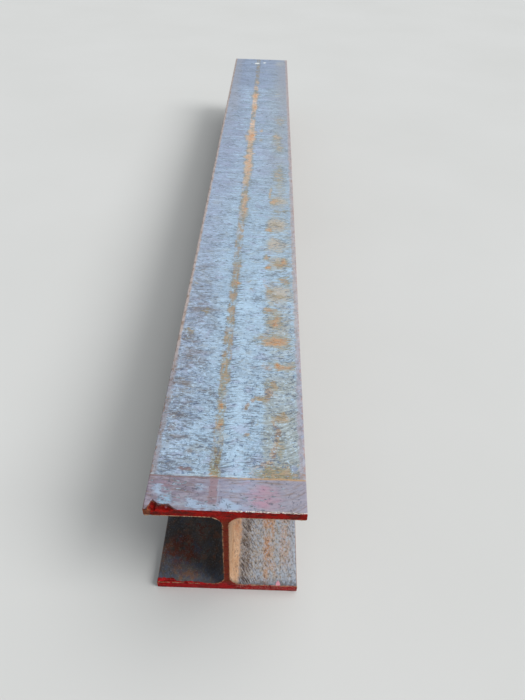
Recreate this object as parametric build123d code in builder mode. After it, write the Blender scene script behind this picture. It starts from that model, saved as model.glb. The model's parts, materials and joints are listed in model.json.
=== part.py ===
from build123d import *
from math import hypot
import os

# Rolled wide-flange section, in millimetres
section_height = 260.0
flange_width = 260.0
web_thickness = 10.0
flange_thickness = 17.5
root_radius = 24.0
toe_radius = 2.0

# Length of the piece, cut square at both ends
beam_length = 2620.0

# Deep scoop where the torch first bit into the upper flange. An inset is measured
# from the left flange tip to the middle of the scoop, a reach back from the cut end,
# a depth down that end, and a radius across the scoop's round bottom.
bite_inset = 14.5
bite_reach = 18.0
bite_depth = 8.5
bite_radius = 7.0

# Wide shallow scoop beside it, where the flame washed the edge away
wash_inset = 32.5
wash_reach = 11.5
wash_depth = 6.5
wash_radius = 36.0

# Melted lip on the same side of the lower flange
lip_inset = 16.0
lip_reach = 8.5
lip_depth = 5.5
lip_radius = 40.0

# Face that each scoop starts from, then its inset, reach, depth and radius
torch_scoops = [
    (section_height, bite_inset, bite_reach, bite_depth, bite_radius),
    (section_height, wash_inset, wash_reach, wash_depth, wash_radius),
    (flange_thickness, lip_inset, lip_reach, lip_depth, lip_radius),
]

with BuildPart() as i_beam:
    # The section stands on the base plane, centred on the web
    with BuildSketch(Plane.XZ) as section:
        with Locations((0, section_height / 2)):
            Rectangle(flange_width, section_height)
            with GridLocations((flange_width + web_thickness) / 2, 0, 2, 1):
                Rectangle(
                    (flange_width - web_thickness) / 2,
                    section_height - 2 * flange_thickness,
                    mode=Mode.SUBTRACT,
                )
        # The corners nearest the web are the roots, the others the flange toes
        corners = section.vertices().sort_by(lambda corner: abs(corner.X))
        fillet(corners[:4], root_radius)
        fillet(corners[4:], toe_radius)
    extrude(amount=beam_length / 2, both=True)

    # Each scoop is a round-bottomed groove that falls towards the near end
    for face_height, inset, reach, depth, radius in torch_scoops:
        groove_start = (inset - flange_width / 2, reach - beam_length / 2, face_height)
        fall_line = (0, -reach, -depth)
        with BuildSketch(Plane(origin=groove_start, x_dir=(1, 0, 0), z_dir=fall_line)):
            with Locations((0, radius)):
                Circle(radius)
        extrude(amount=hypot(reach, depth) + radius, mode=Mode.SUBTRACT)

i_beam.part.label = "i_beam"

os.makedirs("parts", exist_ok=True)
export_step(i_beam.part, "parts/i_beam.step")
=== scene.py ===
import json
from math import cos, hypot, pi, radians, sin
from types import SimpleNamespace

import bmesh
import bpy
import numpy as np
from mathutils import Matrix, Vector, noise
from mathutils.geometry import delaunay_2d_cdt

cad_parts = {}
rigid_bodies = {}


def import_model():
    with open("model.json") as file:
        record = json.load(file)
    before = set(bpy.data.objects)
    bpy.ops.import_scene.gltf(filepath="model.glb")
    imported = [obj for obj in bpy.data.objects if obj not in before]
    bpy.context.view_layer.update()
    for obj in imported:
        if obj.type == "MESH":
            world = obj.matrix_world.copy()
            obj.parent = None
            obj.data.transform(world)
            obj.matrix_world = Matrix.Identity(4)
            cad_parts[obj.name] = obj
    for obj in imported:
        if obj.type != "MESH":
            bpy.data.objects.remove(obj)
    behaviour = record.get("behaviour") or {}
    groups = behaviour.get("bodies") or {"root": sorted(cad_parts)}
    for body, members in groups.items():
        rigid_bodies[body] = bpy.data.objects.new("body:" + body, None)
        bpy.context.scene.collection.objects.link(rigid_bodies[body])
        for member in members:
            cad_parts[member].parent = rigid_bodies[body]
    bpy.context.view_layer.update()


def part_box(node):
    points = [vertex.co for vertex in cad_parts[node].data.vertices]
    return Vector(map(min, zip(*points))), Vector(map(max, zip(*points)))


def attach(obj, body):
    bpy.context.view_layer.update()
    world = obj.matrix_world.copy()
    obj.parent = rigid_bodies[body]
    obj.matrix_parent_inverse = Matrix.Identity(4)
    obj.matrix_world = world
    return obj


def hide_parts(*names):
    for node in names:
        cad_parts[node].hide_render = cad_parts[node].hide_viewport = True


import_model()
low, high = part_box("i_beam")
mm = 0.001  # sizes below are in millimetres, Blender works in metres
nearEnd, farEnd = low.y / mm, high.y / mm  # the torch-cut end and the sawn end
beamHeight, halfFlange = high.z / mm, high.x / mm
beamLength = farEnd - nearEnd
scene = bpy.context.scene


# The view and the light

viewSetup = {
    "across": 46.5,  # from the middle of the beam
    "inFront": 481.3,  # of the cut end
    "height": 1023.6,
    "tiltDown": 41.43,
    "turnRight": 0.28,
    "roll": 2.20,
    "lens": 28.57,
}

lightSetup = {
    "skyColour": (0.88, 0.94, 1.0),
    "skyStrength": 0.32,
    "keyFrom": (3.0, -0.9, 3.0),  # from the right, a little in front
    "keyStrength": 2.0,
    "keySpread": 32,  # in degrees
    "topFrom": (1.2, 1.3, 3.7),
    "topStrength": 1.25,
    "topSpread": 54,
}


def addToScene(name, data):
    made = bpy.data.objects.new(name, data)
    scene.collection.objects.link(made)
    return made


def placeCamera(setup):
    lensData = bpy.data.cameras.new("viewCamera")
    lensData.sensor_width = 36
    lensData.lens = setup["lens"]
    camera = addToScene("viewCamera", lensData)
    spot = (setup["across"], nearEnd - setup["inFront"], setup["height"])
    camera.matrix_world = (
        Matrix.Translation(Vector(spot) * mm)
        @ Matrix.Rotation(radians(-setup["turnRight"]), 4, "Z")
        @ Matrix.Rotation(radians(90 - setup["tiltDown"]), 4, "X")
        @ Matrix.Rotation(radians(setup["roll"]), 4, "Z")
    )
    scene.camera = camera


def softLight(name, cameFrom, strength, spread):
    # an even light from far off, its shadows softened by its spread
    lamp = bpy.data.lights.new(name, "SUN")
    lamp.energy = strength
    lamp.angle = radians(spread)
    made = addToScene(name, lamp)
    made.rotation_euler = Vector(cameFrom).to_track_quat("Z", "Y").to_euler()


def lightTheStudio(setup):
    world = bpy.data.worlds.new("studioSky")
    world.use_nodes = True
    sky = world.node_tree.nodes["Background"].inputs
    sky["Color"].default_value = (*setup["skyColour"], 1)
    sky["Strength"].default_value = setup["skyStrength"]
    scene.world = world
    softLight("keyLight", setup["keyFrom"], setup["keyStrength"], setup["keySpread"])
    softLight("topLight", setup["topFrom"], setup["topStrength"], setup["topSpread"])
    scene.view_settings.view_transform = "Standard"


placeCamera(viewSetup)
lightTheStudio(lightSetup)
print("view and light set")


# Small helpers for node trees. Each adds its nodes to the tree in hand,
# which newFinish and newTree set.

tree = None


def feed(socket, value):
    if isinstance(value, bpy.types.NodeSocket):
        tree.links.new(value, socket)
    elif value is not None:
        socket.default_value = value


def addNode(kind, inputs=None, **settings):
    made = tree.nodes.new(kind)
    for name, value in settings.items():
        setattr(made, name, value)
    for key, value in (inputs or {}).items():
        feed(made.inputs[key], value)
    return made


def geo(kind, inputs=None, **settings):
    # the first output of a Geometry Nodes node
    return addNode("GeometryNode" + kind, inputs, **settings).outputs[0]


def calc(operation, *values):
    return addNode("ShaderNodeMath", dict(enumerate(values)), operation=operation).outputs[0]


def total(*values):
    result = values[0]
    for value in values[1:]:
        result = calc("ADD", result, value)
    return result


def product(*values):
    result = values[0]
    for value in values[1:]:
        result = calc("MULTIPLY", result, value)
    return result


def swing(noiseValue, size):
    # noise about zero, reaching about half of size each way
    return product(calc("SUBTRACT", noiseValue, 0.5), size)


def vectorCalc(operation, first, second):
    return addNode("ShaderNodeVectorMath", {0: first, 1: second}, operation=operation).outputs[0]


def apart(vector):
    return addNode("ShaderNodeSeparateXYZ", {0: vector}).outputs


def joined(x=0.0, y=0.0, z=0.0):
    return addNode("ShaderNodeCombineXYZ", {"X": x, "Y": y, "Z": z}).outputs[0]


def inMillimetres(place):
    return vectorCalc("DIVIDE", place, (mm, mm, mm))


def ramp(value, start, stop, low=0.0, high=1.0):
    # smoothly from low at start to high at stop, and level outside them
    return addNode(
        "ShaderNodeMapRange",
        {"Value": value, "From Min": start, "From Max": stop, "To Min": low, "To Max": high},
        interpolation_type="SMOOTHSTEP",
    ).outputs[0]


def fade(share, none, full):
    # from none where the share is zero to full where it is one
    return ramp(share, 0, 1, none, full)


def within(value, start, stop, edge):
    # one between start and stop, with soft edges
    rise = ramp(value, start - edge, start + edge)
    fall = ramp(value, stop - edge, stop + edge, 1.0, 0.0)
    return product(rise, fall)


def grain(point, sizes, shift=0.0, detail=2.0, rough=0.5, kink=0.0):
    # noise whose lumps are sizes millimetres long in x, y and z, where z is as x if it has no size
    scaled = vectorCalc("DIVIDE", point, (*sizes, sizes[0])[:3])
    moved = vectorCalc("ADD", scaled, (shift, shift * 1.7, shift * 2.3))
    return addNode(
        "ShaderNodeTexNoise",
        {"Vector": moved, "Scale": 1.0, "Detail": detail, "Roughness": rough, "Distortion": kink},
    ).outputs[0]


def tone(red, green, blue):
    # a colour as a screen shows it, 0 to 255, made linear
    def straight(part):
        part = part / 255
        return part / 12.92 if part <= 0.04045 else ((part + 0.055) / 1.055) ** 2.4
    return (straight(red), straight(green), straight(blue), 1.0)


class Coats:
    # shades of a look, or other coats, laid one over another where their amounts allow
    def __init__(self, look, first):
        self.look = look
        self.colour = tone(*look[first])

    def lay(self, shade, *amounts):
        over = shade.colour if isinstance(shade, Coats) else tone(*self.look[shade])
        mixed = addNode("ShaderNodeMix", {0: product(*amounts), 6: self.colour, 7: over}, data_type="RGBA")
        self.colour = mixed.outputs[2]


def newFinish(name):
    global tree
    finish = bpy.data.materials.new(name)
    finish.use_nodes = True
    tree = finish.node_tree
    coords = addNode("ShaderNodeTexCoord").outputs["Object"]
    return finish, tree.nodes["Principled BSDF"].inputs, inMillimetres(coords)


def dressShader(shader, coats, roughness, specular, height=None, depth=0.0):
    # height from 0 to 1 stands for depth millimetres of relief
    feed(shader["Base Color"], coats.colour)
    feed(shader["Roughness"], roughness)
    feed(shader["Specular IOR Level"], specular)
    if height:
        bump = addNode("ShaderNodeBump", {"Strength": 1.0, "Distance": depth * mm, "Height": height})
        feed(shader["Normal"], bump.outputs["Normal"])


def newTree(name, inputs):
    global tree
    tree = bpy.data.node_groups.new(name, "GeometryNodeTree")
    tree.interface.new_socket("Geometry", in_out="INPUT", socket_type="NodeSocketGeometry")
    tree.interface.new_socket("Geometry", in_out="OUTPUT", socket_type="NodeSocketGeometry")
    for label, value in inputs.items():
        kind = "Int" if isinstance(value, int) else "Float"
        made = tree.interface.new_socket(label, in_out="INPUT", socket_type="NodeSocket" + kind)
        made.default_value = value
    source = tree.nodes.new("NodeGroupInput").outputs
    result = tree.nodes.new("NodeGroupOutput").inputs[0]
    return source, result


def settle(piece):
    # lets the modifiers run once and keeps their result as a plain mesh
    bpy.context.view_layer.update()
    shaped = piece.evaluated_get(bpy.context.evaluated_depsgraph_get())
    mesh = bpy.data.meshes.new_from_object(shaped)
    piece.modifiers.clear()
    piece.data = mesh
    mesh.name = piece.name


def trimToSize(piece, gap=0.04):
    # nothing may stand out of the beam's rolled size
    spots = np.empty(len(piece.data.vertices) * 3)
    piece.data.vertices.foreach_get("co", spots)
    least = np.array(low) + gap * mm
    most = np.array(high) - gap * mm
    piece.data.vertices.foreach_set("co", np.clip(spots.reshape(-1, 3), least, most).ravel())
    piece.data.update()


def growPiece(piece, shaping, values):
    # each value goes to the input of its name
    modifier = piece.modifiers.new(shaping.name, "NODES")
    modifier.node_group = shaping
    for item in shaping.interface.items_tree:
        if item.item_type == "SOCKET" and item.in_out == "INPUT" and item.name in values:
            modifier[item.identifier] = values[item.name]
    settle(piece)


def choose(kind, switch, no, yes):
    return geo("Switch", {"Switch": switch, "False": no, "True": yes}, input_type=kind)


# The floor

floorSetup = {
    "reach": 40.0,  # in metres, each way from the middle
    "tone": (204, 204, 201), "lightTone": (212, 212, 210),
}


def layFloor(setup):
    reach = setup["reach"]
    corners = [(-reach, -reach, 0), (reach, -reach, 0), (reach, reach, 0), (-reach, reach, 0)]
    sheet = bpy.data.meshes.new("studioFloor")
    sheet.from_pydata(corners, [], [(0, 1, 2, 3)])
    floor = addToScene("studioFloor", sheet)
    finish, shader, point = newFinish("paleFloor")
    coats = Coats(setup, "tone")
    coats.lay("lightTone", grain(point, (700, 700), detail=3))
    dressShader(shader, coats, 0.9, 0.2)
    sheet.materials.append(finish)


layFloor(floorSetup)
print("floor laid")


# The rolled body: the section's outline, swept along the beam by Geometry Nodes

rolledBody = {
    "webThickness": 10.0,
    "flangeThickness": 17.5,
    "rootRadius": 24.0,
    "toeRadius": 2.0,
    "rows": 378,
    "nearShare": 0.22,  # a smaller share crowds the rows more towards the cut end
    "topStep": 2.9,  # longest side of a face, across the top
    "sideStep": 13.0,  # and round the rest of the section
    "skin": 0.45,  # the steel lies this far under its full size, to leave room for what is on it
    "waveDepth": 0.16,
    "rippleDepth": 0.14,
    "nickDepth": 1.1,
    "setBack": 0.9,  # of the bare cut face, to leave room for its paint
}


def sectionOutline(sizes):
    tip = halfFlange - sizes["skin"]
    web = sizes["webThickness"] / 2 - sizes["skin"] / 2
    flange = sizes["flangeThickness"]
    bottom, top = sizes["skin"] / 2, beamHeight - sizes["skin"]
    corners = [
        (-tip, bottom), (tip, bottom), (tip, flange), (web, flange),
        (web, beamHeight - flange), (tip, beamHeight - flange), (tip, top), (-tip, top),
        (-tip, beamHeight - flange), (-web, beamHeight - flange), (-web, flange), (-tip, flange),
    ]
    outline = bpy.data.meshes.new("sectionOutline")
    count = len(corners)
    edges = [(place, (place + 1) % count) for place in range(count)]
    outline.from_pydata([(x * mm, z * mm, 0) for x, z in corners], edges, [])
    return addToScene("steelBody", outline)


def roundedSection(source, place, x, y):
    # the outline gets its root and toe radii, then points along its straight runs
    loop = geo("MeshToCurve", {"Mesh": source["Geometry"]})
    isRoot = calc("LESS_THAN", calc("ABSOLUTE", x), product(source["Half Flange"], 0.5))
    radius = choose("FLOAT", isRoot, source["Toe Radius"], source["Root Radius"])
    count = choose("INT", isRoot, 3, 7)
    rounded = geo("FilletCurve", {"Curve": loop, "Radius": radius, "Count": count}, mode="POLY")
    here = geo("InputIndex")
    following = addNode("GeometryNodeOffsetPointInCurve", {"Point Index": here, "Offset": 1})
    ahead = {"Value": place, "Index": following.outputs["Point Index"]}
    nextPlace = geo("FieldAtIndex", ahead, data_type="FLOAT_VECTOR")
    run = addNode("ShaderNodeVectorMath", {0: place, 1: nextPlace}, operation="DISTANCE").outputs["Value"]
    onTop = calc("GREATER_THAN", y, product(source["Height"], 0.99))
    step = choose("FLOAT", onTop, source["Side Step"], source["Top Step"])
    cuts = calc("FLOOR", calc("DIVIDE", run, step))
    return geo("SubdivideCurve", {"Curve": rounded, "Cuts": cuts})


def crowdedPath(source):
    # a straight line along the beam, with closer points towards the cut end
    line = geo("CurvePrimitiveLine", {"Start": (0, 0, 0), "End": (0, 1, 0)})
    spaced = geo("ResampleCurve", {"Curve": line, "Count": source["Rows"]})
    share = addNode("GeometryNodeSplineParameter").outputs["Factor"]
    even = product(share, source["Near Share"])
    crowded = product(calc("POWER", share, 1.5), calc("SUBTRACT", 1.0, source["Near Share"]))
    run = calc("SUBTRACT", source["Length"], source["Set Back"])
    start = calc("SUBTRACT", source["Set Back"], product(source["Length"], 0.5))
    along = total(start, product(total(even, crowded), run))
    path = geo("SetPosition", {"Geometry": spaced, "Position": joined(y=along)})
    upright = geo("SetCurveNormal", {"Curve": path}, mode="Z_UP")
    return geo("SetCurveTilt", {"Curve": upright, "Tilt": pi})


def rolledBodyTree(values):
    source, result = newTree("rolledBody", values)
    place = geo("InputPosition")
    x, y, z = apart(place)
    section = roundedSection(source, place, x, y)
    swept = geo("CurveToMesh", {"Curve": crowdedPath(source), "Profile Curve": section})

    # rolling waves, finer ripples across the beam and nicks along the toes, all cut inwards
    point = inMillimetres(place)
    wave = grain(point, (110, 170), 3.1, detail=1)
    ripple = grain(point, (46, 9), 7.7, detail=2)
    nick = ramp(grain(point, (9, 13), 1.3, detail=3), 0.56, 0.72)
    flangeFace = calc("PINGPONG", z, product(source["Height"], 0.5))
    fromTip = calc("SUBTRACT", source["Half Flange"], calc("ABSOLUTE", x))
    atToe = product(ramp(fromTip, 2.6 * mm, 0.6 * mm), ramp(flangeFace, 3.0 * mm, 0.8 * mm))
    depth = total(
        product(wave, source["Wave Depth"]),
        product(ripple, source["Ripple Depth"]),
        product(nick, atToe, source["Nick Depth"]),
    )
    inward = addNode("ShaderNodeVectorMath", {0: geo("InputNormal")}, operation="SCALE")
    feed(inward.inputs["Scale"], product(depth, -1.0))
    feed(result, geo("SetPosition", {"Geometry": swept, "Offset": inward.outputs[0]}))
    return tree


def insideSection(x, z, sizes, gap):
    # true at least gap inside the section's outline
    flange, web, root = sizes["flangeThickness"], sizes["webThickness"] / 2, sizes["rootRadius"]
    side, rise = abs(x), min(z, beamHeight - z)
    if side > halfFlange - gap or rise < gap:
        return False
    if rise < flange - gap or side < web - gap:
        return True
    inCorner = side < web + root and rise < flange + root
    return inCorner and hypot(side - web - root, rise - flange - root) > root + gap


def closeEnd(shape, sizes, outwards, spacing, relief):
    # fills an open end of the swept skin, the one that faces outwards, with small triangles
    level = max(vert.co.y * outwards for vert in shape.verts) * outwards
    ring = [edge for edge in shape.edges if edge.is_boundary and abs(edge.verts[0].co.y - level) < 3 * mm]
    corners = sorted({vert for edge in ring for vert in edge.verts}, key=lambda vert: vert.index)
    rank = {vert: place for place, vert in enumerate(corners)}
    points = [Vector((vert.co.x, vert.co.z)) for vert in corners]
    sides = [(rank[edge.verts[0]], rank[edge.verts[1]]) for edge in ring]
    noise.seed_set(11)
    for column, across in enumerate(np.arange(-halfFlange, halfFlange, spacing)):
        for up in np.arange(0, beamHeight, spacing):
            x = across + spacing * noise.random() * 0.35
            z = up + spacing * (0.5 * (column % 2) + noise.random() * 0.35)
            if insideSection(x, z, sizes, spacing * 0.5 + sizes["skin"]):
                points.append(Vector((x, z)) * mm)
    flat, _, faces, origins, _, _ = delaunay_2d_cdt(points, sides, [], 1, 1e-7)
    made = []
    for place, spot in enumerate(flat):
        if origins[place] and origins[place][0] < len(corners):
            made.append(corners[origins[place][0]])
        else:
            dip = relief * mm * (0.5 + noise.noise(Vector((spot.x * 90, spot.y * 320, level))) * 0.5)
            made.append(shape.verts.new((spot.x, level - dip * outwards, spot.y)))
    for face in faces:
        new = shape.faces.new([made[corner] for corner in face])
        new.normal_update()
        if new.normal.y * outwards < 0:
            new.normal_flip()


def rollBeam(sizes):
    beam = sectionOutline(sizes)
    lengths = {
        "Length": beamLength, "Height": beamHeight, "Half Flange": halfFlange,
        "Root Radius": sizes["rootRadius"], "Toe Radius": sizes["toeRadius"],
        "Top Step": sizes["topStep"], "Side Step": sizes["sideStep"], "Set Back": sizes["setBack"],
        "Wave Depth": sizes["waveDepth"], "Ripple Depth": sizes["rippleDepth"],
        "Nick Depth": sizes["nickDepth"],
    }
    values = {name: length * mm for name, length in lengths.items()}
    values.update({"Rows": sizes["rows"], "Near Share": sizes["nearShare"]})
    growPiece(beam, rolledBodyTree(values), values)
    shape = bmesh.new()
    shape.from_mesh(beam.data)
    bmesh.ops.remove_doubles(shape, verts=shape.verts, dist=1e-6)
    shape.verts.index_update()
    closeEnd(shape, sizes, outwards=-1, spacing=3.0, relief=0.3)
    closeEnd(shape, sizes, outwards=1, spacing=2.8, relief=0.25)
    shape.to_mesh(beam.data)
    print("steel body: open edges", sum(edge.is_boundary for edge in shape.edges))
    shape.free()
    return beam


steelBody = rollBeam(rolledBody)
print("steel body rolled,", len(steelBody.data.polygons), "faces")


# Scoops that the cutting torch left at the near end, on the left

# face is the height that a scoop starts from, inset its middle from the left tip,
# reach how far back it goes and depth how far down the cut end
torchScoops = {
    "bite": {"face": beamHeight, "inset": 14.5, "reach": 18.0, "depth": 8.5, "radius": 7.0},
    "wash": {"face": beamHeight, "inset": 32.5, "reach": 11.5, "depth": 6.5, "radius": 36.0},
    "lip": {"face": 17.5, "inset": 16.0, "reach": 8.5, "depth": 5.5, "radius": 40.0},
}
scoopRoughness = 0.55  # height of its melted lumps
scoopFacets = 1.3  # longest side of a face in it
# outline of the dark rim round them, burnt steel and painted shade of their hollows: across, and from the cut
# end
scoopRimOutline = [
    (-127, 0), (-123.5, 3), (-116, 19), (-112, 15), (-107, 11.5), (-98, 10.5), (-90, 11.5),
    (-83, 5.5), (-74, 1),
]


def torchCutter(scoop):
    # a round bar that falls towards the near end, with a melted surface
    level = scoop["face"] - rolledBody["skin"] / 2
    start = Vector((scoop["inset"] - halfFlange, nearEnd + scoop["reach"], level))
    fall = Vector((0, -scoop["reach"], -scoop["depth"])).normalized()
    across = Vector((1, 0, 0))
    up = fall.cross(across)
    radius = scoop["radius"]
    run = hypot(scoop["reach"], scoop["depth"]) + radius
    around = max(24, round(2 * pi * radius / scoopFacets))
    rings = round(run / scoopFacets)
    bar = bmesh.new()
    turns = []
    for place in range(rings + 1):
        middle = start + up * radius + fall * (run * place / rings - 1.0)
        turn = []
        for step in range(around):
            angle = 2 * pi * step / around
            outward = across * sin(angle) - up * cos(angle)
            spot = middle + outward * radius
            lump = noise.noise(spot * 0.22) + 0.5 * noise.noise(spot * 0.6)
            turn.append(bar.verts.new((spot + outward * lump * scoopRoughness) * mm))
        turns.append(turn)
    for ahead, behind in zip(turns[1:], turns):
        for step in range(around):
            follow = (step + 1) % around
            bar.faces.new((behind[step], behind[follow], ahead[follow], ahead[step]))
    bar.faces.new(turns[0])
    bar.faces.new(turns[-1])
    bmesh.ops.recalc_face_normals(bar, faces=bar.faces)
    mesh = bpy.data.meshes.new("torchCutter")
    bar.to_mesh(mesh)
    bar.free()
    return addToScene("torchCutter", mesh)


def burnScoops(body):
    for scoop in torchScoops.values():
        cutter = torchCutter(scoop)
        burn = body.modifiers.new("burn", "BOOLEAN")
        burn.object = cutter
        burn.operation = "DIFFERENCE"
        burn.solver = "MANIFOLD"
        settle(body)
        bpy.data.objects.remove(cutter)


def scoopRimEdge(x):
    return np.interp(x, *zip(*scoopRimOutline), left=-5, right=-5)


burnScoops(steelBody)
print("scoops burnt,", len(steelBody.data.polygons), "faces")


# Weather marks on the top of the beam: middle across, middle from the cut end,
# half width and half length of each, in millimetres, then its strength

weatherMarks = {
    "rust": [
        (-23, 222, 6, 5, 1.0), (-22, 171, 7, 9, 0.8), (100, 80, 12, 5, 0.6), (88, 76, 40, 10, 0.5),
        (72, 69, 9, 4, 0.6), (110, 68, 9, 3, 0.5), (26, 222, 4, 6, 0.5), (26, 150, 4, 6, 0.5),
        (47, 186, 4, 6, 0.5), (-24, 298, 8, 22, 0.6), (72, 279, 20, 12, 0.5), (52, 244, 15, 9, 0.5),
        (92, 199, 22, 13, 0.4), (88, 128, 9, 28, 0.45), (-19, 623, 8, 9, 1.0), (-18, 842, 8, 16, 0.6),
        (-17, 707, 10, 18, 0.6), (-22, 479, 8, 14, 0.65), (-24, 424, 8, 10, 0.6),
        (-22, 341, 9, 12, 0.6), (88, 714, 20, 14, 0.6), (56, 696, 11, 8, 1.1), (53, 742, 8, 12, 0.75),
        (99, 728, 9, 9, 0.85), (64, 598, 14, 9, 0.6), (82, 574, 26, 12, 0.45), (78, 482, 20, 24, 0.62),
        (82, 472, 8, 8, 0.95), (78, 413, 35, 20, 0.84), (58, 406, 14, 10, 1.0), (92, 337, 24, 13, 0.75),
        (82, 341, 9, 7, 1.0), (58, 885, 10, 12, 0.85), (74, 912, 14, 16, 0.45), (14, 638, 8, 8, 0.5),
        (26, 597, 8, 7, 0.55), (-79, 508, 14, 9, 0.45), (-105, 439, 12, 9, 0.45),
        (-114, 617, 12, 6, 0.4), (-15, 1023, 11, 90, 0.75), (-15, 1331, 13, 160, 0.8),
        (-14, 1571, 16, 66, 1.0), (-12, 1774, 10, 16, 0.5), (-11, 1890, 12, 36, 1.0),
        (-13, 2034, 13, 44, 1.0), (-12, 2236, 11, 22, 0.7), (-12, 2486, 9, 16, 0.45),
        (60, 1110, 5, 42, 0.7), (73, 1054, 14, 18, 0.75), (88, 998, 22, 9, 0.55),
        (84, 1240, 22, 60, 0.45), (78, 1570, 14, 40, 0.5), (90, 1468, 16, 44, 0.45),
        (24, 1627, 9, 20, 0.6), (22, 1540, 6, 26, 0.4), (92, 1740, 24, 60, 0.40),
        (66, 520, 16, 12, 0.7), (100, 640, 16, 18, 0.6),
    ],
    "stain": [
        (-108, 160, 20, 90, 0.42), (-104, 430, 26, 110, 0.46), (-112, 700, 18, 160, 0.34),
        (-60, 700, 40, 60, 0.22), (-22, 190, 9, 125, 0.55), (-22, 84, 10, 20, 0.9),
        (-23, 141, 9, 15, 0.7), (-22, 262, 10, 28, 0.8), (94, 140, 25, 46, 0.8),
        (92, 199, 24, 16, 0.75), (82, 279, 25, 14, 0.75), (54, 243, 16, 11, 0.7),
        (88, 74, 40, 10, 0.85), (86, 716, 28, 24, 0.65), (82, 582, 34, 38, 0.62),
        (46, 784, 18, 20, 0.5), (86, 800, 28, 22, 0.4), (78, 482, 28, 40, 0.5),
        (-17, 600, 8, 265, 0.45), (-100, 250, 14, 50, 0.4), (-88, 505, 30, 12, 0.45),
        (84, 450, 26, 70, 0.4), (74, 912, 30, 34, 0.75), (84, 1056, 26, 34, 0.6),
        (82, 1530, 24, 120, 0.45), (70, 808, 30, 34, 0.6), (90, 1180, 20, 240, 0.3),
        (92, 2260, 44, 330, 0.34), (-14, 2159, 14, 12, 0.7), (10, 2395, 70, 9, 0.6),
        (82, 2069, 34, 9, 0.6),
    ],
    "pink": [
        (64, 28, 34, 26, 0.75), (60, 20, 16, 12, 0.8), (-100, 50, 24, 10, 0.5), (28, 52, 22, 9, 0.45),
    ],
    "haze": [
        (-112, 34, 16, 12, 0.85), (-52, 12, 22, 9, 0.95), (-26, 10, 22, 9, 0.85), (4, 12, 28, 10, 0.95),
        (-44, 42, 13, 9, 0.75), (112, 34, 20, 30, 0.2), (8, 42, 24, 12, 0.5), (-92, 18, 12, 6, 0.8),
    ],
    "smear": [
        (-90, 147, 26, 5, 0.9), (-69, 113, 13, 4, 0.9), (-82, 228, 16, 5, 0.9), (-98, 201, 20, 7, 1.0),
        (-107, 168, 11, 8, 0.9), (-72, 80, 10, 2.6, 2.4), (-60, 262, 20, 5, 0.7),
        (-102, 286, 22, 8, 0.8), (-108, 92, 10, 6, 0.7), (-84, 336, 28, 7, 0.8), (-66, 372, 26, 6, 0.7),
        (-94, 404, 24, 7, 0.7), (-96, 362, 30, 22, 0.75), (-84, 515, 40, 12, 1.0),
        (-108, 425, 16, 14, 0.8), (-80, 566, 40, 5, 0.6), (-62, 452, 22, 6, 0.6),
        (-102, 556, 22, 7, 0.7), (-74, 610, 30, 6, 0.5), (-104, 690, 20, 10, 0.6),
        (-70, 770, 34, 7, 0.4), (-108, 340, 16, 26, 0.5), (-96, 380, 30, 8, 0.7), (38, 330, 14, 4, 0.5),
        (44, 128, 12, 3, 0.5),
    ],
    "fringe": [
        (80, 160, 5, 34, 1.3), (72, 118, 5, 18, 1.2), (60, 92, 16, 5, 0.9), (66, 258, 9, 20, 1.0),
        (90, 200, 14, 12, 0.9), (24, 224, 5, 9, 1.2), (36, 236, 8, 6, 1.1), (50, 246, 9, 7, 1.1),
        (62, 262, 8, 9, 1.1), (69, 284, 7, 10, 1.1), (80, 276, 12, 8, 0.8), (24, 154, 5, 8, 1.0),
        (60, 330, 8, 18, 0.7), (58, 430, 7, 30, 0.6), (56, 600, 7, 60, 0.6),
    ],
    "ash": [
        (79, 254, 7, 6, 0.9), (82, 2034, 38, 9, 0.8), (40, 2428, 80, 9, 0.6), (92, 2540, 40, 76, 0.6),
    ],
    "lime": [
        (-17, 2544, 11, 10, 1.2), (16, 2563, 7, 8, 1.0),
    ],
}


def raggedShift(spot):
    # moves a point's place in the marks, so that their rims are ragged
    broad = noise.noise_vector(Vector((spot.x / 26, spot.y / 26, 3.0))) * 11
    small = noise.noise_vector(Vector((spot.x / 8, spot.y / 5, 7.0))) * 5
    return broad + small


def addLayer(body, name, values):
    layer = body.data.attributes.new(name, "FLOAT", "POINT")
    layer.data.foreach_set("value", values)


def brushMarks(body, marks):
    # each kind of mark becomes a number on the mesh's points, soft at its rim
    spots = [vert.co / mm for vert in body.data.vertices]
    onTop = np.array([spot.z > beamHeight - 3 for spot in spots])
    shifted = [spot + raggedShift(spot) if spot.z > beamHeight - 3 else spot for spot in spots]
    x, y, _ = np.array(shifted).T
    for kind, places in marks.items():
        amount = np.zeros(len(x))
        for across, along, halfWide, halfLong, strength in places:
            away = ((x - across) / halfWide) ** 2 + ((y - nearEnd - along) / halfLong) ** 2
            amount = np.maximum(amount, strength * np.exp(-0.9 * away))
        addLayer(body, kind, amount * onTop)
    x, y, _ = np.array(spots).T
    # how far inside the dark rim round the scoops: burnt steel and painted shade of their hollows
    addLayer(body, "scorchAndShade", (scoopRimEdge(x) + nearEnd - y) * onTop)


brushMarks(steelBody, weatherMarks)
print("weather marks brushed")


# The finish of the top: blue rolling scale, streaked across, with rust coming through. Its blue is partly the
# scale's own colour and partly a painted reflection of the sky.

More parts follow.
